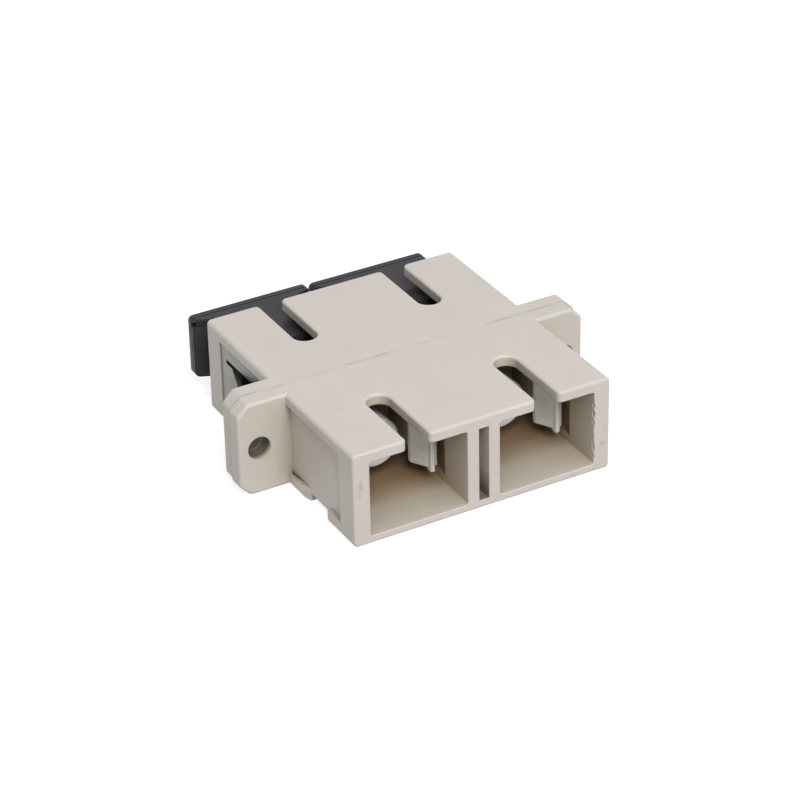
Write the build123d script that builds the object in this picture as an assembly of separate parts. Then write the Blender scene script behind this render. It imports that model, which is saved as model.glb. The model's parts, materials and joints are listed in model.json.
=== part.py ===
from build123d import *
import os
from math import cos, radians, sin

# Duplex panel adapter for square push-pull fibre connectors, with dust caps in its rear ports.
# All sizes are millimetres. X runs across the two ports, +Y from the open front ports towards the
# capped rear ports, +Z up. The origin is midway between the two flange holes, on the seam between
# the half shells. Each half is drawn on the +Y side, and the front one is turned about Z.

# Ports
port_pitch = 12.7
port_width = 9.5
port_height = 7.3
port_corner = 0.25
keyway_width = 2.25
keyway_length = 8.0
keyway_mouth_round = 0.5
dividing_groove_width = 1.0
dividing_groove_height = 7.2
dividing_groove_depth = 3.5

# Half shells
half_length = 13.7
side_wall = 1.6
top_wall = 1.05
bottom_wall = 0.75
body_edge_round = 0.4
face_edge_round = 0.25
port_edge_round = 0.1
seam_break = 0.07
arm_pocket_depth = 0.7
arm_pocket_clearance = 0.3
arm_pocket_lead = 0.6

# Flange
flange_layer = 1.7
flange_span = 34.8
rear_flange_shift = 0.2
flange_corner = 1.05
flange_corner_round = 0.5
flange_edge_round = 0.3
hole_spacing = 30.8
hole_diameter = 2.2

# Recess for the mounting clip, on both sides and under the body
recess_depth = 0.4
recess_top_band = 1.05
recess_end_band = 2.55
ledge_height = 1.25
ledge_length = 3.4
ledge_taper = 1.0
ledge_slot_width = 0.3
ledge_slot_lead = 0.4
ledge_slot_length = 2.4
ledge_slot_depth = 0.9
web_channel_width = 3.75
web_channel_depth = 0.4
web_channel_round = 0.5

# Mounting clip, a folded strip of spring steel
clip_thickness = 0.3
clip_clearance = 0.08
clip_window_height = 4.2
clip_window_start = 3.3
clip_window_end = 10.1
tab_slit = 0.42
tab_root = 1.15
tab_bend_radius = 2.7
tab_reach = 5.2
tab_slope = 18.0

# Latch inserts and split sleeves
insert_base = 1.2
insert_lip = 0.4
insert_clearance = 0.05
sleeve_length = 11.4
sleeve_outer = 3.2
sleeve_bore = 2.5
sleeve_slot = 0.5
sleeve_clearance = 0.05
holder_diameter = 4.7
holder_lip = 0.35
holder_mouth = 3.0
holder_mouth_chamfer = 0.2
arm_height = 4.4
arm_thickness = 0.6
arm_gap = 0.2
arm_reach = 9.1
hook_span = 5.6
hook_flat = 0.4
hook_lead_in = 1.6
hook_back = 0.35
nose_width = 0.45
nose_length = 0.4
nose_overhang = 0.3

# Dust caps
cap_plate_width = 12.1
cap_plate_height = 6.0
cap_plate_thickness = 0.7
cap_plate_round = 0.5
cap_reach = 4.4
cap_depth = 4.1
cap_collar_thickness = 0.2
cap_shoulder_length = 0.75
cap_side_clearance = 0.5
cap_floor_gap = 0.65
cap_wall = 0.7
cap_groove_width = 0.1
cap_groove_depth = 0.15
cap_rim = 0.3
cap_undercut_height = 0.45
cap_undercut_depth = 0.4
cap_edge_round = 0.15
left_cap_shift = 0.15
right_cap_drop = 0.15
right_cap_shift = 0.45

# Small nicks along the right edge of the right front port
nick_count = 9
nick_radius = 0.55
nick_bite = 0.12
nick_depth = 0.35

# Sizes that follow from the ones above
body_width = port_pitch + port_width + 2 * side_wall
body_height = port_height + top_wall + bottom_wall
body_top = body_height / 2
port_z = bottom_wall - body_height / 2 + port_height / 2
port_sides = (-port_pitch / 2, port_pitch / 2)
keyway_radius = keyway_width / 2
keyway_centre = half_length - keyway_length + keyway_radius
recess_floor = body_width / 2 - recess_depth
recess_top = body_top - recess_top_band
recess_end = half_length - recess_end_band
ledge_top = ledge_height - body_top
channel_roof = web_channel_depth - body_top
channel_start = flange_layer + ledge_length
channel_end = channel_start + web_channel_width
window_middle = (recess_top + ledge_top) / 2
window_range = (window_middle - clip_window_height / 2, window_middle + clip_window_height / 2)
holder_bore = sleeve_outer + 2 * sleeve_clearance
holder_end = sleeve_length / 2 + sleeve_clearance + holder_lip
past = 1.0
tolerance = 0.01


def block(x_range, y_range, z_range):
    """A box between two corners."""
    low, high = zip(x_range, y_range, z_range)
    size = [b - a for a, b in zip(low, high)]
    middle = [(a + b) / 2 for a, b in zip(low, high)]
    return Pos(*middle) * Box(*size)


def along_y(sketch, start, end):
    """A sketch of the X-Z plane, drawn out along Y."""
    return extrude(Plane.XZ.offset(-start) * sketch, amount=end - start, dir=(0, 1, 0))


def along_z(sketch, bottom, top):
    """A sketch of the X-Y plane, drawn out along Z."""
    return extrude(Pos(0, 0, bottom) * sketch, amount=top - bottom, dir=(0, 0, 1))


def round_bar(diameter, start, end, x=0, z=0):
    """A cylinder along Y."""
    return along_y(Pos(x, z) * Circle(diameter / 2), start, end)


def near(value, target):
    return abs(value - target) < tolerance


def lines_port(point):
    """Whether a point of the end face lies on the outline of a port."""
    across = abs(abs(point.X) - port_pitch / 2)
    up = abs(point.Z - port_z)
    corner = port_corner / 2
    outside = across > port_width / 2 + tolerance or up > port_height / 2 + tolerance
    beside = across > port_width / 2 - corner or up > port_height / 2 - corner
    return beside and not outside


def port_body():
    """The moulded block of one half, with its ports, keyways and rounded edges."""
    body = along_y(RectangleRounded(body_width, body_height, body_edge_round), 0, half_length)
    port_outline = RectangleRounded(port_width, port_height, port_corner)
    for x in port_sides:
        body -= along_y(Pos(x, port_z) * port_outline, -past, half_length + past)
        keyway = block(
            (x - keyway_radius, x + keyway_radius),
            (keyway_centre, half_length + past),
            (port_z, body_top + past),
        )
        keyway += Pos(x, keyway_centre, port_z) * Cylinder(
            keyway_radius, body_height, align=(Align.CENTER, Align.CENTER, Align.MIN)
        )
        body -= keyway
    mouth_corners = [
        edge
        for edge in body.edges()
        if near(edge.center().Y, half_length)
        and near(abs(abs(edge.center().X) - port_pitch / 2), keyway_radius)
    ]
    body = fillet(mouth_corners, keyway_mouth_round)
    end_face = body.faces().filter_by(Axis.Y).sort_by(Axis.Y)[-1]
    outer_edges = [
        edge
        for edge in end_face.edges()
        if near(abs(edge.center().Z), body_top) or near(abs(edge.center().X), body_width / 2)
    ]
    body = fillet(outer_edges, face_edge_round)
    end_face = body.faces().filter_by(Axis.Y).sort_by(Axis.Y)[-1]
    port_edges = [edge for edge in end_face.edges() if lines_port(edge.center())]
    return fillet(port_edges, port_edge_round)


def flange(shift):
    """One layer of the mounting flange, off-centre by a shift, with its two holes."""
    outline = Pos(shift, 0) * Rectangle(flange_span, body_height)
    outline = chamfer(outline.vertices(), flange_corner)
    outline = fillet(outline.vertices(), flange_corner_round)
    layer = along_y(outline, 0, flange_layer)
    layer = fillet(layer.faces().sort_by(Axis.Y)[-1].edges(), flange_edge_round)
    for x in (-hole_spacing / 2, hole_spacing / 2):
        layer -= round_bar(hole_diameter, -past, flange_layer + past, x)
    return layer


def saddle(outset=0):
    """The rounded section of the body that the clip's web wraps, grown by an outset."""
    height = 2 * (recess_top - channel_roof)
    section = RectangleRounded(
        2 * (recess_floor + outset), height + 2 * outset, web_channel_round + outset
    )
    return Pos(0, channel_roof + height / 2) * section


def clip_recess():
    """What is cut from both sides and the underside of a half to seat the clip."""
    reach = body_width / 2 + past
    recess = block((recess_floor, reach), (flange_layer, recess_end), (ledge_top, recess_top))
    slot = Polygon(
        (recess_floor, flange_layer),
        (recess_floor + ledge_slot_width, flange_layer + ledge_slot_lead),
        (recess_floor, flange_layer + ledge_slot_length),
        align=None,
    )
    recess += along_z(slot, ledge_top - ledge_slot_depth, ledge_top)
    ledge_end = Polygon(
        (recess_floor, channel_start),
        (recess_floor + 2 * recess_depth, channel_start),
        (recess_floor + 2 * recess_depth, channel_start - 2 * ledge_taper),
        align=None,
    )
    recess += along_z(ledge_end, -body_top - past, ledge_top)
    recess += mirror(recess, Plane.YZ)
    channel = block((-reach, reach), (channel_start, channel_end), (-body_top - past, recess_top))
    channel -= along_y(saddle(), channel_start - past, channel_end + past)
    return recess + channel


def insert_seats():
    """What is cut from a half to hold the latch inserts: lip grooves and pockets for the arms."""
    cuts = []
    lip_width = port_width + 2 * insert_lip
    pocket_width = port_width + 2 * arm_pocket_depth
    pocket_height = arm_height + 2 * (nose_overhang + arm_pocket_clearance)
    for x in port_sides:
        cuts.append(along_y(Pos(x, port_z) * Rectangle(lip_width, port_height), -past, insert_base))
        cuts.append(
            along_y(
                Pos(x, port_z) * Rectangle(pocket_width, pocket_height),
                0,
                arm_reach + arm_pocket_lead,
            )
        )
    return cuts


def tab_windows():
    """Openings through both side walls, behind the clip's tabs."""
    window = block(
        (port_pitch / 2, body_width / 2 + past),
        (clip_window_start, clip_window_end),
        window_range,
    )
    return window + mirror(window, Plane.YZ)


def half_shell(flange_shift=0):
    """One half of the housing, drawn on the +Y side."""
    shell = port_body() + flange(flange_shift)
    seam_face = shell.faces().sort_by(Axis.Y)[0]
    shell = chamfer(seam_face.outer_wire().edges(), seam_break)
    shell -= clip_recess()
    for cut in insert_seats():
        shell -= cut
    groove = Rectangle(dividing_groove_width, dividing_groove_height)
    shell -= along_y(Pos(0, port_z) * groove, half_length - dividing_groove_depth, half_length + past)
    return shell


def latch_insert():
    """A latch moulding on one port's axis: base, sleeve holder and two hooked arms."""
    base = Rectangle(
        port_width + 2 * (insert_lip - insert_clearance), port_height - 2 * insert_clearance
    )
    insert = along_y(base, 0, insert_base)
    holder = round_bar(holder_diameter, 0, holder_end)
    insert += chamfer(holder.edges().sort_by(Axis.Y)[-1], holder_mouth_chamfer)
    insert -= round_bar(holder_bore, -past, holder_end - holder_lip)
    insert -= round_bar(holder_mouth, 0, holder_end + past)

    outer = port_width / 2 - arm_gap
    inner = outer - arm_thickness
    hook = hook_span / 2
    nose_start = arm_reach - nose_length
    lead_in_start = nose_start - hook_lead_in
    catch = lead_in_start - hook_flat
    arm = Polygon(
        (inner, insert_base / 2),
        (outer, insert_base / 2),
        (outer, nose_start),
        (inner + nose_width / 2, nose_start),
        (inner - nose_width / 2, nose_start),
        (hook, lead_in_start),
        (hook, catch),
        (inner, catch - hook_back),
        align=None,
    )
    arm = along_z(arm, -arm_height / 2, arm_height / 2)
    nose = Pos(inner, arm_reach - nose_length) * Rectangle(nose_width, 2 * nose_length)
    nose = along_z(
        fillet(nose.vertices(), nose_width / 3),
        -arm_height / 2 - nose_overhang,
        arm_height / 2 + nose_overhang,
    )
    arm += nose
    return insert + arm + mirror(arm, Plane.YZ)


def split_sleeve():
    """The slotted tube that lines up the two ferrules of one port."""
    sleeve = round_bar(sleeve_outer, -sleeve_length / 2, sleeve_length / 2)
    sleeve -= round_bar(sleeve_bore, -sleeve_length, sleeve_length)
    slot = block(
        (-sleeve_slot / 2, sleeve_slot / 2), (-sleeve_length, sleeve_length), (0, sleeve_outer)
    )
    return sleeve - slot


def mounting_clip():
    """The folded spring strip: two side plates joined by a web under the body."""
    plate_outer = recess_floor + clip_thickness
    plate_range = (flange_layer + clip_clearance, recess_end - clip_clearance)
    plate_bottom = ledge_top + clip_clearance
    plate_top = recess_top - clip_clearance
    web_range = (channel_start + clip_clearance, channel_end - clip_clearance)
    opening = (recess_floor - past, plate_outer + past)

    plate = block((recess_floor, plate_outer), plate_range, (plate_bottom, plate_top))
    plate -= block(opening, (clip_window_start, clip_window_end), window_range)
    plate += spring_tab(plate_outer)

    web = along_y(saddle(clip_thickness) - saddle(), *web_range)
    web -= block((-body_width, body_width), (0, half_length), (plate_bottom, 2 * body_height))
    return web + plate + mirror(plate, Plane.YZ)


def spring_tab(plate_outer):
    """The tab in the window: a flat root, then curved outwards on its way to the flange."""
    lean = radians(tab_slope)
    rise = tab_reach * sin(lean)
    run = tab_reach * cos(lean)
    across = clip_thickness / cos(lean)
    bend = clip_window_end - tab_root
    tab = Polygon(
        (plate_outer - clip_thickness, clip_window_end),
        (plate_outer, clip_window_end),
        (plate_outer, bend),
        (plate_outer + rise, bend - run),
        (plate_outer + rise - across, bend - run),
        (plate_outer - clip_thickness, bend),
        align=None,
    )
    outer_bend, inner_bend = (
        [corner for corner in tab.vertices() if near(corner.Y, bend) and near(corner.X, x)]
        for x in (plate_outer, plate_outer - clip_thickness)
    )
    tab = fillet(outer_bend, tab_bend_radius)
    tab = fillet(inner_bend, tab_bend_radius + clip_thickness)
    return along_z(tab, window_range[0] + tab_slit, window_range[1] - tab_slit)


def dust_cap():
    """A cap on one port's axis: end plate, collar with a sloping shoulder, and hollow plug."""
    plate_end = half_length + cap_reach
    plate_start = plate_end - cap_plate_thickness
    collar_end = plate_start - cap_groove_width
    collar_start = collar_end - cap_collar_thickness
    middle = cap_floor_gap - port_height / 2 + cap_plate_height / 2
    top = middle + cap_plate_height / 2
    bottom = middle - cap_plate_height / 2
    outline = Pos(0, middle) * RectangleRounded(cap_plate_width, cap_plate_height, cap_plate_round)

    plate = along_y(outline, plate_start, plate_end)
    plate = fillet(plate.faces().sort_by(Axis.Y)[-1].edges(), cap_edge_round)
    groove_floor = offset(outline, -cap_groove_depth)
    plan = cap_plan(collar_start, collar_end)
    plug = along_z(plan, bottom, top)
    plug &= along_y(outline, half_length - cap_depth, collar_end)
    undercut_top = top - cap_rim
    undercut = along_z(
        plan - cap_plan(collar_start, collar_end, cap_undercut_depth),
        undercut_top - cap_undercut_height,
        undercut_top,
    )
    plug -= undercut & block(
        (-cap_plate_width, cap_plate_width), (half_length, collar_end), (bottom, top)
    )
    hollow = RectangleRounded(
        port_width - 2 * (cap_side_clearance + cap_wall),
        cap_plate_height - 2 * cap_wall,
        cap_plate_round,
    )
    plug -= along_y(
        Pos(0, middle) * hollow, half_length - cap_depth - past, plate_start - cap_wall
    )
    return plate + along_y(groove_floor, collar_end, plate_start) + plug


def cap_plan(collar_start, collar_end, inset=0):
    """The plug, shoulder and collar seen from above, narrower on each side by an inset."""
    plug = port_width / 2 - cap_side_clearance - inset
    collar = cap_plate_width / 2 - inset
    plug_start = half_length - cap_depth
    shoulder_start = collar_start - cap_shoulder_length
    right = [
        (plug, plug_start),
        (plug, shoulder_start),
        (collar, collar_start),
        (collar, collar_end),
    ]
    left = [(-x, y) for x, y in reversed(right)]
    return Polygon(*right, *left, align=None)


def nicks():
    """Shallow bites in the moulded edge at the right side of the right front port."""
    edge_x = port_pitch / 2 + port_width / 2
    margin = port_corner + nick_radius
    bottom = port_z - port_height / 2 + margin
    step = (port_height - 2 * margin) / (nick_count - 1)
    bites = []
    for index in range(nick_count):
        z = bottom + step * (index + 0.2 * sin(2.1 * index))
        bite = nick_bite * (0.6 + 0.4 * sin(1.3 * index))
        x = edge_x - nick_radius + bite
        bites.append(round_bar(2 * nick_radius, -half_length - past, nick_depth - half_length, x, z))
    return bites


front_housing = Rot(0, 0, 180) * half_shell()
for nick in nicks():
    front_housing -= nick
rear_housing = half_shell(rear_flange_shift) - tab_windows()

nodes = {
    "front_housing": front_housing,
    "rear_housing": rear_housing,
    "mounting_clip": mounting_clip(),
}
rear_insert = latch_insert()
front_insert = Rot(0, 0, 180) * rear_insert
cap_seats = {
    "left": Pos(-left_cap_shift, 0, 0),
    "right": Pos(-right_cap_shift, 0, -right_cap_drop),
}
for side, x in zip(("left", "right"), port_sides):
    on_axis = Pos(x, 0, port_z)
    nodes["latch_insert_front_" + side] = on_axis * front_insert
    nodes["latch_insert_rear_" + side] = on_axis * rear_insert
    nodes["split_sleeve_" + side] = on_axis * split_sleeve()
    nodes["dust_cap_" + side] = on_axis * cap_seats[side] * dust_cap()

os.makedirs("parts", exist_ok=True)
for name, solid in nodes.items():
    export_step(solid, os.path.join("parts", name + ".step"))
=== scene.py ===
"""Looks for a duplex fibre optic adapter: its plastics and metals, the camera and the light."""

import json
from math import cos, radians, sin

import bpy
from mathutils import Matrix, Vector


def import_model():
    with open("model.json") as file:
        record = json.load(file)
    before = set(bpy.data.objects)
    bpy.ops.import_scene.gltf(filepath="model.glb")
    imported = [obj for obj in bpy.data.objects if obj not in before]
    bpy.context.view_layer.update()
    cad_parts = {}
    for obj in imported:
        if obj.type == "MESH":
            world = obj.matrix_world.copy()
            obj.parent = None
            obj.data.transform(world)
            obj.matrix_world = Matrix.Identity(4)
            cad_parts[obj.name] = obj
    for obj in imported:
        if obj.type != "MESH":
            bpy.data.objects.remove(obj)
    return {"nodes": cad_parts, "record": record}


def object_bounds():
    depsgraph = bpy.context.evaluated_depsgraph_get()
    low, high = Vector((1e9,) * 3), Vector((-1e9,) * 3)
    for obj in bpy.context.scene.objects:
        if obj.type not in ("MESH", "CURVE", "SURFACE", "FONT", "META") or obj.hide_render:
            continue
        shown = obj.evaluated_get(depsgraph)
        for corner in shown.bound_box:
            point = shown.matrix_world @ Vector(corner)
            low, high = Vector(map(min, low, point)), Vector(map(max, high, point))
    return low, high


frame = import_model()
cad_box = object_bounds()

# Lengths are in metres, written as a number of millimetres times MM; only the marks are in mm
MM = 0.001

# Places that the solids and the record's mounts give
mounts = {mount["name"]: mount for mount in frame["record"]["mounts"]}
HOLE_ASIDE = mounts["flange_holes"]["dims"]["spacing_x_mm"] / 2 * MM
HOLE_RADIUS = mounts["flange_holes"]["dims"]["hole_r_mm"] * MM
PORT_ASIDE = mounts["ferrule_bore_right"]["pos_m"][0]
PORT_MIDDLE = mounts["ferrule_bore_right"]["pos_m"][2]
FRONT_FACE = cad_box[0][1]
TOP_FACE = cad_box[1][2]

# Camera of the photograph: a long lens, looking down from the front left
CAMERA_AZIMUTH = radians(28.70)
CAMERA_ELEVATION = radians(30.63)
CAMERA_ROLL = radians(-1.277)
CAMERA_DISTANCE = 269.13 * MM
CAMERA_ASIDE = 0.478 * MM
CAMERA_BELOW = 0.665 * MM
CAMERA_NEAREST = 10.0 * MM
LENS = 136.44
SENSOR = 36.0

# Sizes of the features that noise draws on the surfaces
MOULD_GRAIN = 0.16 * MM
MOULD_SWELL = 5.0 * MM
DIRT_GRAIN = 0.5 * MM
LATCH_CLOUD = 1.5 * MM
STEEL_CLOUD = 1.2 * MM
BRUSH_SPACING = 0.05 * MM
DRAWN_SPACING = 0.08 * MM
RUB_PATCH = 2.2 * MM
SPECK_SIZE = 0.12 * MM
SEAM_PATCH = 3.0 * MM
BRUSH_STRETCH = (1.0, 1.0, 0.04)

# Ranges of noise values that are stretched to run from 0 to 1
CLOUDY = (0.3, 0.7)
DIRTY = (0.30, 0.55)
PATCHY = (0.35, 0.60)
RUBBED = (0.45, 0.75)
SPECKLED = (0.66, 0.74)

# Heights of each surface's relief, and the softening of its sharp edges
GRAIN_RISE = 0.01 * MM
SWELL_RISE = 0.03 * MM
CAP_RISE = 0.015 * MM
LINE_RISE = 0.004 * MM
SOFT_EDGE = 0.07 * MM
EDGE_SAMPLES = 4

# Roughness of each surface, from its smoothest to its roughest spots
HOUSING_ROUGHNESS = (0.40, 0.52)
LATCH_ROUGHNESS = (0.28, 0.40)
STEEL_ROUGHNESS = (0.30, 0.48)
BRONZE_ROUGHNESS = (0.22, 0.36)
CAP_ROUGHNESS = (0.28, 0.42)

# Painted shade in corners: how far it reaches, and how open a spot is where it is full or gone
HOUSING_REACH = 12.0 * MM
LATCH_REACH = 3.0 * MM
CAP_REACH = 1.2 * MM
OPENNESS = (0.1, 0.7)
CORNER_SAMPLES = 6

# Ports: painted brown shade between their outer walls and under their ceilings, fading towards
# the mouths
PORT_OUTSIDE = 12.0 * MM
PORT_CEILING = 3.68 * MM
PORT_FADE = (6.8 * MM, 10.0 * MM)
PORT_SHADE_STRENGTH = 0.80

# Groove between the ports: no painted corner shade on its walls, and painted shade on its floor
# behind the rim
GROOVE_HALF = 0.51 * MM
GROOVE_RIM = 0.08 * MM
GROOVE_BASE = -4.0 * MM
GROOVE_FADE = (-3.6 * MM, -1.2 * MM)
GROOVE_SHADE_STRENGTH = 0.85

# Seam between the half shells: dirty in patches, from the least to the most
SEAM_HALF = 0.16 * MM
SEAM_TINT = (0.15, 0.75)

# Left screw hole: painted shade on its wall, between its rims
HOLE_HALO = 0.06 * MM
HOLE_FADE = (1.1 * MM, 1.5 * MM)

# Ears of the flange: a little darker and yellower than the body beside them, painted shade with
# a painted tint of the light
EAR_START = (12.5 * MM, 13.2 * MM)

# Latch inserts: painted shade towards their bases and on top of the round sleeve holders
LATCH_FADE = (1.3 * MM, 4.2 * MM)
BASE_SHADE_STRENGTH = 0.55
HOLDER_RADIUS = 2.4 * MM
HOLDER_FADE = (0.6 * MM, 1.6 * MM)
HOLDER_SHADE_STRENGTH = 0.55

# Mounting clip: painted shade where its tabs stand out of the plates, and a painted darker,
# bluish reflection towards the flange
PLATE_OUTSIDE = 12.61 * MM
TAB_FADE = 0.06 * MM
TAB_SHADE_STRENGTH = 0.35
REFLECTION_FADE = (3.5 * MM, 9.5 * MM)
REFLECTION_STRENGTH = 0.65

# Pale specks of dust on the caps
SPECK_TINT = 0.15

# Colours, linear; a pair is the two ends of a slow drift
HOUSING_BEIGE = ((0.638, 0.568, 0.490, 1), (0.663, 0.590, 0.510, 1))
# Painted shade: the ears' tone and the corner, port, groove and screw hole colours; the seam's
# brown is grime
EAR_SHADE_TINT = (0.965, 0.98, 0.955, 1)
CORNER_SHADE_BEIGE = (0.34, 0.265, 0.15, 1)
PORT_SHADE_BROWN = (0.30, 0.18, 0.085, 1)
GROOVE_SHADE_BROWN = (0.14, 0.085, 0.055, 1)
SEAM_BROWN = (0.42, 0.37, 0.31, 1)
HOLE_SHADE_BROWN = (0.15, 0.115, 0.08, 1)
GREY_RUB = (0.26, 0.24, 0.22, 1)
PALE_SCUFF = (0.85, 0.82, 0.78, 1)
LATCH_GREEN = ((0.80, 0.79, 0.71, 1), (0.86, 0.85, 0.77, 1))
# Painted shade on the latch inserts: in corners, at the bases and on the holders' tops
LATCH_CORNER_SHADE = (0.30, 0.25, 0.15, 1)
BASE_SHADE_COLOUR = (0.11, 0.085, 0.05, 1)
HOLDER_SHADE_COLOUR = (0.26, 0.22, 0.16, 1)
STEEL_GREY = ((0.190, 0.188, 0.172, 1), (0.235, 0.232, 0.213, 1))
# Painted shade on the clip's tabs, and a painted darker reflection near the flange
TAB_SHADE_STEEL = (0.085, 0.078, 0.072, 1)
REFLECTION_STEEL = (0.085, 0.083, 0.098, 1)
BRONZE = ((0.50, 0.30, 0.15, 1), (0.68, 0.43, 0.24, 1))
CAP_BLACK = ((0.034, 0.033, 0.035, 1), (0.048, 0.047, 0.051, 1))
# Painted shade in the caps' grooves and corners
CAP_CORNER_SHADE = (0.003, 0.003, 0.003, 1)
PALE_DUST = (0.25, 0.24, 0.23, 1)
WHITE = (1, 1, 1, 1)

# Marks on the housing: centre and radii in mm, colour, strength
front = FRONT_FACE / MM
top = TOP_FACE / MM
MARKS = (
    ((-12.0, front, 1.3), (0.30, 0.50, 0.80), GREY_RUB, 0.55),
    ((-12.1, front, 0.5), (0.22, 0.50, 0.35), GREY_RUB, 0.35),
    ((11.9, front, -1.9), (0.55, 0.50, 0.30), GREY_RUB, 0.35),
    ((12.2, front, -0.4), (0.20, 0.50, 0.90), GREY_RUB, 0.20),
    ((-9.9, -6.1, top), (0.55, 0.12, 0.30), GREY_RUB, 0.35),
    ((-12.8, -0.2, top), (1.40, 0.18, 0.30), GREY_RUB, 0.30),
    ((-14.9, 0.5, top), (1.20, 0.14, 0.30), GREY_RUB, 0.22),
    ((-15.6, 0.1, 4.30), (0.50, 0.16, 0.30), PALE_SCUFF, 0.60),
    ((11.0, 0.0, top), (0.90, 0.12, 0.30), PALE_SCUFF, 0.50),
    ((-12.25, -5.2, -0.9), (0.30, 0.18, 0.18), PALE_SCUFF, 0.40),
)
MARK_FADE = (0.2, 1.0)

# Studio: one soft lamp, a dome that is brighter in front, and a table that glows for the camera
LAMP_COLOUR = (0.955, 0.99, 1.05)
KEY_PLACE = (-60.0 * MM, -400.0 * MM, 480.0 * MM)
KEY_SIZE = 300.0 * MM
KEY_WATTS = 3.0
DOME_FRONT = 0.56
DOME_BACK = 0.32
TABLE_SPREAD = 12.0
TABLE_GREY = 0.42
TABLE_GLOW = 0.80

# Sockets of a mix node when it mixes colours
MIX_FACTOR, MIX_FIRST, MIX_SECOND, MIX_RESULT = 0, 6, 7, 2


def camera():
    """The photograph's view of the object, with no shift."""
    forward = Vector(
        (
            sin(CAMERA_AZIMUTH) * cos(CAMERA_ELEVATION),
            cos(CAMERA_AZIMUTH) * cos(CAMERA_ELEVATION),
            -sin(CAMERA_ELEVATION),
        )
    )
    level_right = forward.cross(Vector((0, 0, 1))).normalized()
    level_up = level_right.cross(forward)
    right = cos(CAMERA_ROLL) * level_right + sin(CAMERA_ROLL) * level_up
    up = -sin(CAMERA_ROLL) * level_right + cos(CAMERA_ROLL) * level_up
    place = -CAMERA_ASIDE * right - CAMERA_BELOW * up - CAMERA_DISTANCE * forward
    data = bpy.data.cameras.new("camera")
    data.lens = LENS
    data.sensor_width = SENSOR
    data.clip_start = CAMERA_NEAREST
    obj = bpy.data.objects.new("camera", data)
    turn = Matrix((right, up, -forward)).transposed().to_4x4()
    obj.matrix_world = Matrix.Translation(place) @ turn
    bpy.context.scene.collection.objects.link(obj)
    bpy.context.scene.camera = obj


class Nodes:
    """A short way to write a node tree."""

    def __init__(self, tree):
        self.tree = tree
        tree.nodes.clear()

    def add(self, kind, **inputs):
        """A node, with its inputs set to values or linked to other nodes' outputs."""
        node = self.tree.nodes.new(kind)
        for name, value in inputs.items():
            self.set(node, name.replace("_", " "), value)
        return node

    def set(self, node, which, value):
        """One input, by name or number, set to a value or linked to another node's output."""
        socket = node.inputs[which]
        if isinstance(value, bpy.types.NodeSocket):
            self.tree.links.new(value, socket)
        else:
            socket.default_value = value

    def noise(self, place, size, detail=3.0, roughness=0.55):
        """Soft noise whose features are about one size."""
        node = self.add("ShaderNodeTexNoise", Vector=place, Scale=1 / size, Detail=detail)
        self.set(node, "Roughness", roughness)
        return node.outputs["Fac"]

    def ramp(self, value, low, high, low_out=0.0, high_out=1.0):
        """A value stretched from one range to another, and held at its ends."""
        node = self.add("ShaderNodeMapRange", Value=value, From_Min=low, From_Max=high)
        self.set(node, "To Min", low_out)
        self.set(node, "To Max", high_out)
        return node.outputs["Result"]

    def mix(self, factor, first, second, blend="MIX"):
        """Two colours mixed: the first where the factor is 0, the second where it is 1."""
        node = self.tree.nodes.new("ShaderNodeMix")
        node.data_type = "RGBA"
        node.blend_type = blend
        self.set(node, MIX_FACTOR, factor)
        self.set(node, MIX_FIRST, first)
        self.set(node, MIX_SECOND, second)
        return node.outputs[MIX_RESULT]

    def vector(self, operation, first, second=(0, 0, 0), output="Vector"):
        """Vector arithmetic; a length or a dot product is the output Value."""
        node = self.tree.nodes.new("ShaderNodeVectorMath")
        node.operation = operation
        self.set(node, 0, first)
        self.set(node, 1, second)
        return node.outputs[output]

    def math(self, operation, first, second=0.0):
        """Arithmetic on one or two numbers."""
        node = self.tree.nodes.new("ShaderNodeMath")
        node.operation = operation
        self.set(node, 0, first)
        self.set(node, 1, second)
        return node.outputs["Value"]

    def product(self, first, *others):
        """Several masks multiplied."""
        for other in others:
            first = self.math("MULTIPLY", first, other)
        return first

    def axis(self, vector, letter):
        """One axis of a vector."""
        return self.add("ShaderNodeSeparateXYZ", Vector=vector).outputs[letter]

    def distance_along(self, place, letter):
        """The distance from the object's middle along one axis, the same on both sides."""
        return self.math("ABSOLUTE", self.axis(place, letter))

    def relief(self, height, rise, strength):
        """A bump node, for a surface that is raised by up to a length where the height is 1."""
        return self.add("ShaderNodeBump", Height=height, Distance=rise, Strength=strength)

    def soft_edge(self):
        """A normal that rounds the sharp edges of the mesh a little."""
        bevel = self.add("ShaderNodeBevel", Radius=SOFT_EDGE)
        bevel.samples = EDGE_SAMPLES
        return bevel.outputs["Normal"]

    def painted_corner_shade(self, colour, deep, reach):
        """A colour that deepens in the piece's own corners and hollows: painted shade."""
        occlusion = self.add("ShaderNodeAmbientOcclusion", Distance=reach)
        occlusion.samples = CORNER_SAMPLES
        occlusion.only_local = True
        return self.mix(self.ramp(occlusion.outputs["AO"], *OPENNESS), deep, colour)

    def finish(self, shader):
        """Links a shader to the material's output."""
        output = self.add("ShaderNodeOutputMaterial")
        self.tree.links.new(shader.outputs[0], output.inputs["Surface"])


def new_material(name):
    """An empty material, its tree, and the object's own coordinates in metres."""
    material = bpy.data.materials.new(name)
    material.use_nodes = True
    nodes = Nodes(material.node_tree)
    place = nodes.add("ShaderNodeTexCoord").outputs["Object"]
    return material, nodes, place


def spot(nodes, place, centre, radii):
    """A soft oval mask, 1 in its middle and 0 at its radii, all in mm."""
    offset = nodes.vector("SUBTRACT", place, tuple(c * MM for c in centre))
    scaled = nodes.vector("DIVIDE", offset, tuple(r * MM for r in radii))
    distance = nodes.vector("LENGTH", scaled, output="Value")
    return nodes.ramp(distance, *MARK_FADE, 1.0, 0.0)


def on_ears(nodes, place):
    """A mask that is 1 on the flange's two ears."""
    return nodes.ramp(nodes.distance_along(place, "X"), *EAR_START)


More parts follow.
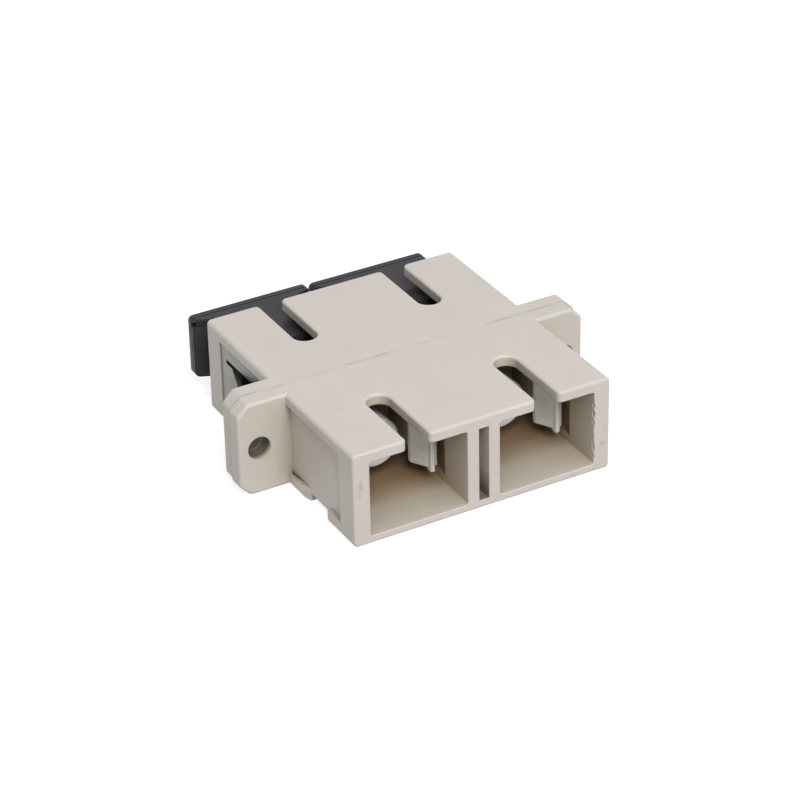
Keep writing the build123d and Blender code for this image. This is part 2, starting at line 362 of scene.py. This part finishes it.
def port_shade_mask(nodes, place):
    """A mask for painted shade on the ports' walls and floor, that grows towards the latch
    inserts.
    """
    centred = nodes.vector("SUBTRACT", place, (0, 0, PORT_MIDDLE))
    within = nodes.math("LESS_THAN", nodes.distance_along(centred, "X"), PORT_OUTSIDE)
    below_ceiling = nodes.math("LESS_THAN", nodes.distance_along(centred, "Z"), PORT_CEILING)
    deep = nodes.ramp(nodes.distance_along(centred, "Y"), *PORT_FADE, PORT_SHADE_STRENGTH, 0.0)
    return nodes.product(within, below_ceiling, deep)


def beside_groove(nodes, place):
    """A mask that is 0 in the groove between the ports, which gets no painted corner shade, and
    1 elsewhere.
    """
    return nodes.math("GREATER_THAN", nodes.distance_along(place, "X"), GROOVE_HALF)


def groove_floor_shade(nodes, place):
    """A mask for painted shade that grows towards the floor of the groove."""
    within = nodes.math("LESS_THAN", nodes.distance_along(place, "X"), GROOVE_HALF)
    rim = -FRONT_FACE - GROOVE_RIM
    behind_rim = nodes.math("LESS_THAN", nodes.distance_along(place, "Y"), rim)
    height = nodes.axis(place, "Z")
    over_base = nodes.math("GREATER_THAN", height, GROOVE_BASE)
    low = nodes.ramp(height, *GROOVE_FADE, GROOVE_SHADE_STRENGTH, 0.0)
    return nodes.product(within, behind_rim, over_base, low)


def along_seam(nodes, place):
    """A patchy mask on the V groove between the half shells, where grime has settled."""
    beside = nodes.math("LESS_THAN", nodes.distance_along(place, "Y"), SEAM_HALF)
    patches = nodes.ramp(nodes.noise(place, SEAM_PATCH, detail=2.0), *PATCHY, *SEAM_TINT)
    return nodes.product(beside, patches)


def screw_hole_shade(nodes, place):
    """A mask for painted shade that is 1 on the wall of the left screw hole, behind its rims.
    """
    offset = nodes.vector("ADD", place, (HOLE_ASIDE, 0, 0))
    across = nodes.vector("MULTIPLY", offset, (1, 0, 1))
    distance = nodes.vector("LENGTH", across, output="Value")
    start = HOLE_RADIUS + HOLE_HALO / 3
    inside = nodes.ramp(distance, start, HOLE_RADIUS + HOLE_HALO, 1.0, 0.0)
    between_rims = nodes.ramp(nodes.distance_along(place, "Y"), *HOLE_FADE, 1.0, 0.0)
    return nodes.product(inside, between_rims)


def base_shade_mask(nodes, place):
    """A mask for painted shade that grows towards the latch inserts' bases."""
    return nodes.ramp(nodes.distance_along(place, "Y"), *LATCH_FADE, BASE_SHADE_STRENGTH, 0.0)


def holder_crown_shade(nodes, place):
    """A mask for painted shade on the upper part of the round sleeve holders."""
    folded = nodes.vector("ABSOLUTE", place)
    offset = nodes.vector("SUBTRACT", folded, (PORT_ASIDE, 0, 0))
    on_holder = nodes.math("LESS_THAN", nodes.distance_along(offset, "X"), HOLDER_RADIUS)
    high = nodes.ramp(nodes.axis(place, "Z"), *HOLDER_FADE, 0.0, HOLDER_SHADE_STRENGTH)
    return nodes.product(on_holder, high)


def housing_colour(nodes, place):
    """Beige with handling marks, grime along the seam, and painted shade: tinted on the ears,
    and in its hollows, ports, groove and left screw hole.
    """
    drift = nodes.ramp(nodes.noise(place, MOULD_SWELL, detail=2.0), *CLOUDY)
    colour = nodes.mix(drift, *HOUSING_BEIGE)
    # Painted shade with a painted tint of the light on the ears
    colour = nodes.mix(on_ears(nodes, place), colour, EAR_SHADE_TINT, "MULTIPLY")
    dirt = nodes.ramp(nodes.noise(place, DIRT_GRAIN, detail=4.0), *DIRTY)
    for centre, radii, tint, strength in MARKS:
        mask = nodes.product(spot(nodes, place, centre, radii), dirt, strength)
        colour = nodes.mix(mask, colour, tint)
    # Painted shade in the hollows, left out of the groove between the ports
    corner_shaded = nodes.painted_corner_shade(colour, CORNER_SHADE_BEIGE, HOUSING_REACH)
    colour = nodes.mix(beside_groove(nodes, place), colour, corner_shaded)
    # Painted shade on the groove's floor
    colour = nodes.mix(groove_floor_shade(nodes, place), colour, GROOVE_SHADE_BROWN)
    # Painted shade deep in the ports
    colour = nodes.mix(port_shade_mask(nodes, place), colour, PORT_SHADE_BROWN)
    # Painted shade on the left screw hole's wall
    colour = nodes.mix(screw_hole_shade(nodes, place), colour, HOLE_SHADE_BROWN)
    return nodes.mix(along_seam(nodes, place), colour, SEAM_BROWN)


def housing_plastic():
    """Beige moulded plastic, with fine mould grain on slightly uneven faces."""
    material, nodes, place = new_material("housing_plastic")
    grain = nodes.noise(place, MOULD_GRAIN, detail=4.0, roughness=0.6)
    bump = nodes.relief(grain, GRAIN_RISE, strength=0.10)
    nodes.set(bump, "Normal", nodes.soft_edge())
    uneven = nodes.noise(place, MOULD_SWELL / 2, detail=1.0)
    swell = nodes.relief(uneven, SWELL_RISE, strength=0.25)
    nodes.set(swell, "Normal", bump.outputs["Normal"])
    shader = nodes.add(
        "ShaderNodeBsdfPrincipled",
        Base_Color=housing_colour(nodes, place),
        Roughness=nodes.ramp(grain, *CLOUDY, *HOUSING_ROUGHNESS),
        Normal=swell.outputs["Normal"],
        IOR=1.48,
        Subsurface_Weight=0.08,
        Subsurface_Scale=0.4 * MM,
        Subsurface_Radius=(1.0, 0.7, 0.5),
    )
    nodes.finish(shader)
    return material


def latch_plastic():
    """Pale green-grey plastic that lets a little light through, with painted shade in its
    corners, at its bases and on its holders' tops.
    """
    material, nodes, place = new_material("latch_plastic")
    cloud = nodes.ramp(nodes.noise(place, LATCH_CLOUD), *CLOUDY)
    colour = nodes.mix(cloud, *LATCH_GREEN)
    # Painted shade in the insert's corners
    colour = nodes.painted_corner_shade(colour, LATCH_CORNER_SHADE, LATCH_REACH)
    # Painted shade towards the bases
    colour = nodes.mix(base_shade_mask(nodes, place), colour, BASE_SHADE_COLOUR)
    # Painted shade on the holders' tops
    colour = nodes.mix(holder_crown_shade(nodes, place), colour, HOLDER_SHADE_COLOUR)
    grain = nodes.noise(place, MOULD_GRAIN)
    bump = nodes.relief(grain, GRAIN_RISE, strength=0.08)
    nodes.set(bump, "Normal", nodes.soft_edge())
    shader = nodes.add(
        "ShaderNodeBsdfPrincipled",
        Base_Color=colour,
        Roughness=nodes.ramp(grain, *CLOUDY, *LATCH_ROUGHNESS),
        Normal=bump.outputs["Normal"],
        IOR=1.5,
        Subsurface_Weight=0.35,
        Subsurface_Scale=0.6 * MM,
        Subsurface_Radius=(0.8, 1.0, 0.8),
    )
    nodes.finish(shader)
    return material


def spring_steel():
    """Rolled steel strip with fine lines along its length, painted shade on its tabs and a
    painted darker reflection towards the flange.
    """
    material, nodes, place = new_material("spring_steel")
    stretched = nodes.add("ShaderNodeMapping", Vector=place, Scale=BRUSH_STRETCH)
    lines = nodes.noise(stretched.outputs["Vector"], BRUSH_SPACING, roughness=0.7)
    cloud = nodes.ramp(nodes.noise(place, STEEL_CLOUD), *CLOUDY)
    colour = nodes.mix(cloud, *STEEL_GREY)
    aside = nodes.distance_along(place, "X")
    # Painted shade on the tabs where they stand out of the plates
    tab_shade = nodes.ramp(aside, PLATE_OUTSIDE, PLATE_OUTSIDE + TAB_FADE, 0.0, TAB_SHADE_STRENGTH)
    colour = nodes.mix(tab_shade, colour, TAB_SHADE_STEEL)
    # A painted darker, bluish reflection towards the flange
    near_flange = nodes.ramp(nodes.axis(place, "Y"), *REFLECTION_FADE, REFLECTION_STRENGTH, 0.0)
    colour = nodes.mix(near_flange, colour, REFLECTION_STEEL)
    shader = nodes.add(
        "ShaderNodeBsdfPrincipled",
        Base_Color=colour,
        Metallic=1.0,
        Roughness=nodes.ramp(lines, *CLOUDY, *STEEL_ROUGHNESS),
        Normal=nodes.relief(lines, LINE_RISE, strength=0.15).outputs["Normal"],
    )
    nodes.finish(shader)
    return material


def sleeve_bronze():
    """Drawn phosphor bronze with a fine grain."""
    material, nodes, place = new_material("sleeve_bronze")
    grain = nodes.noise(place, DRAWN_SPACING)
    shader = nodes.add(
        "ShaderNodeBsdfPrincipled",
        Base_Color=nodes.mix(grain, *BRONZE),
        Metallic=1.0,
        Roughness=nodes.ramp(grain, *CLOUDY, *BRONZE_ROUGHNESS),
        Normal=nodes.relief(grain, LINE_RISE, strength=0.1).outputs["Normal"],
    )
    nodes.finish(shader)
    return material


def cap_plastic():
    """Black moulded cap plastic: satin, with rubbed patches, pale dust and painted shade in its
    grooves and corners.
    """
    material, nodes, place = new_material("cap_plastic")
    rub = nodes.ramp(nodes.noise(place, RUB_PATCH, detail=4.0, roughness=0.6), *RUBBED)
    specks = nodes.ramp(nodes.noise(place, SPECK_SIZE, detail=2.0), *SPECKLED)
    colour = nodes.mix(rub, *CAP_BLACK)
    colour = nodes.mix(nodes.product(specks, SPECK_TINT), colour, PALE_DUST)
    # Painted shade in the grooves and corners
    colour = nodes.painted_corner_shade(colour, CAP_CORNER_SHADE, CAP_REACH)
    grain = nodes.noise(place, MOULD_GRAIN, detail=4.0)
    shader = nodes.add(
        "ShaderNodeBsdfPrincipled",
        Base_Color=colour,
        Roughness=nodes.ramp(rub, 0.0, 1.0, *CAP_ROUGHNESS),
        Normal=nodes.relief(grain, CAP_RISE, strength=0.2).outputs["Normal"],
        IOR=1.5,
        Specular_IOR_Level=0.15,
    )
    nodes.finish(shader)
    return material


def dress():
    """Gives every CAD node the material of its record slot."""
    makers = {
        "housing_plastic": housing_plastic,
        "latch_plastic": latch_plastic,
        "spring_steel": spring_steel,
        "sleeve_bronze": sleeve_bronze,
        "cap_plastic": cap_plastic,
    }
    materials = {slot: make() for slot, make in makers.items()}
    for entry in frame["record"]["subparts"]:
        obj = frame["nodes"][entry["node"]]
        obj.data.materials.clear()
        obj.data.materials.append(materials[entry["material_slot"]])


def seen_directly(nodes):
    """1 for what the camera sees, straight, mirrored or through glass, and 0 otherwise."""
    rays = nodes.add("ShaderNodeLightPath").outputs
    total = nodes.math("ADD", rays["Is Camera Ray"], rays["Is Glossy Ray"])
    total = nodes.math("ADD", total, rays["Is Transmission Ray"])
    return nodes.math("MINIMUM", total, 1.0)


def white_table():
    """A white table whose glow for the camera keeps it white and leaves the object's shadow."""
    low, high = cad_box
    side = TABLE_SPREAD * (high[0] - low[0])
    bpy.ops.mesh.primitive_plane_add(size=side, location=(0, 0, low[2]))
    floor = bpy.context.object
    floor.name = "floor"
    material, nodes, _ = new_material("white_table")
    diffuse = nodes.add("ShaderNodeBsdfDiffuse", Color=(TABLE_GREY, TABLE_GREY, TABLE_GREY, 1))
    strength = nodes.math("MULTIPLY", seen_directly(nodes), TABLE_GLOW)
    glow = nodes.add("ShaderNodeEmission", Color=WHITE, Strength=strength)
    both = nodes.add("ShaderNodeAddShader")
    nodes.set(both, 0, diffuse.outputs[0])
    nodes.set(both, 1, glow.outputs[0])
    nodes.finish(both)
    floor.data.materials.append(material)


def world():
    """A soft grey dome, brighter in front than behind, that the camera sees as white."""
    sky = bpy.data.worlds.new("studio")
    bpy.context.scene.world = sky
    sky.use_nodes = True
    nodes = Nodes(sky.node_tree)
    seen = seen_directly(nodes)
    direction = nodes.add("ShaderNodeTexCoord").outputs["Generated"]
    backward = nodes.vector("DOT_PRODUCT", direction, (0, 1, 0), output="Value")
    grey = nodes.ramp(backward, -1.0, 1.0, DOME_FRONT, DOME_BACK)
    strength = nodes.math("MAXIMUM", seen, grey)
    colour = nodes.mix(seen, (*LAMP_COLOUR, 1), WHITE)
    background = nodes.add("ShaderNodeBackground", Color=colour, Strength=strength)
    output = nodes.add("ShaderNodeOutputWorld")
    nodes.tree.links.new(background.outputs[0], output.inputs["Surface"])


def key_lamp():
    """A square studio lamp above and in front that faces the object."""
    data = bpy.data.lights.new("key", "AREA")
    data.shape = "SQUARE"
    data.size = KEY_SIZE
    data.energy = KEY_WATTS
    data.color = LAMP_COLOUR
    lamp = bpy.data.objects.new("key", data)
    lamp.location = KEY_PLACE
    lamp.rotation_euler = (-Vector(KEY_PLACE)).to_track_quat("-Z", "Y").to_euler()
    bpy.context.scene.collection.objects.link(lamp)


camera()
dress()
world()
white_table()
key_lamp()
bpy.context.scene.view_settings.view_transform = "Standard"
